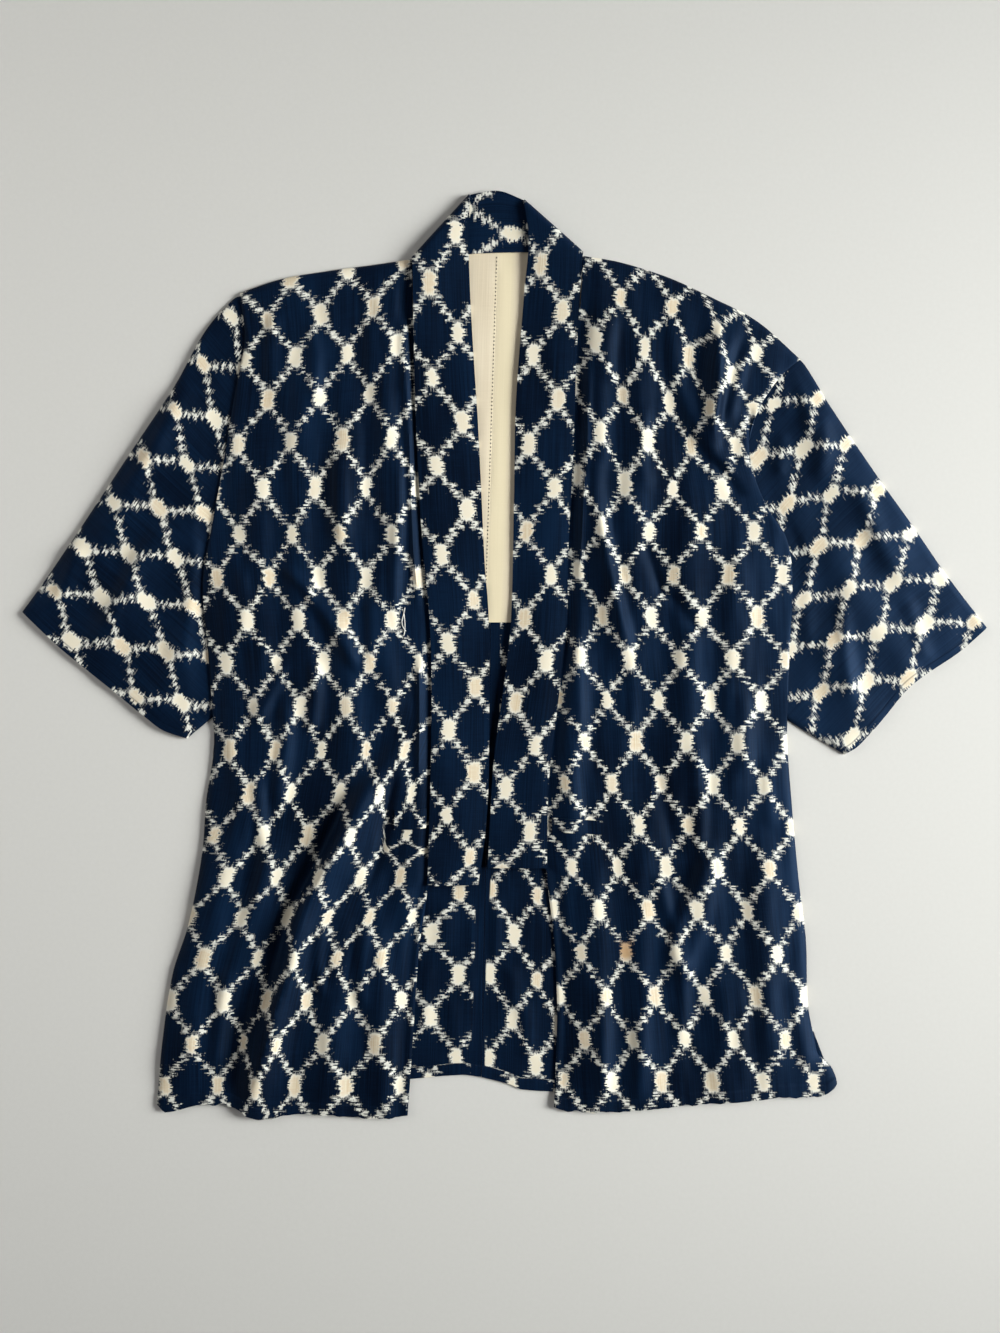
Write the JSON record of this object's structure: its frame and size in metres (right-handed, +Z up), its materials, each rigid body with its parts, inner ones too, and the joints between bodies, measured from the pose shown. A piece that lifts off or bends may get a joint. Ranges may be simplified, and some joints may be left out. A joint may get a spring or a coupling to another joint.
{
  "type": "noragi jacket",
  "caption": "Open-fronted cotton work jacket with wide sleeves and a straight collar band, laid flat with its front up.",
  "frame": {"origin": "middle of the jacket's outline, on the surface that it lies on", "axes": "+X from the wearer's right sleeve to the left, +Y from the hem to the collar, +Z up from the surface"},
  "size_m": [0.9168, 0.8816, 0.0194],
  "materials": {
    "kasuri": "navy cotton with a cream woven ikat lattice, matt with a soft sheen",
    "lining": "plain cream cotton with faint lengthwise streaks"
  },
  "bodies": {
    "root": {"body_right": "kasuri", "body_left": "kasuri", "tuck_right": "kasuri", "tuck_left": "kasuri", "sleeve_right": "kasuri", "sleeve_left": "kasuri", "collar": "kasuri", "lining_right": "lining", "lining_left": "lining"}
  },
  "joints": []
}
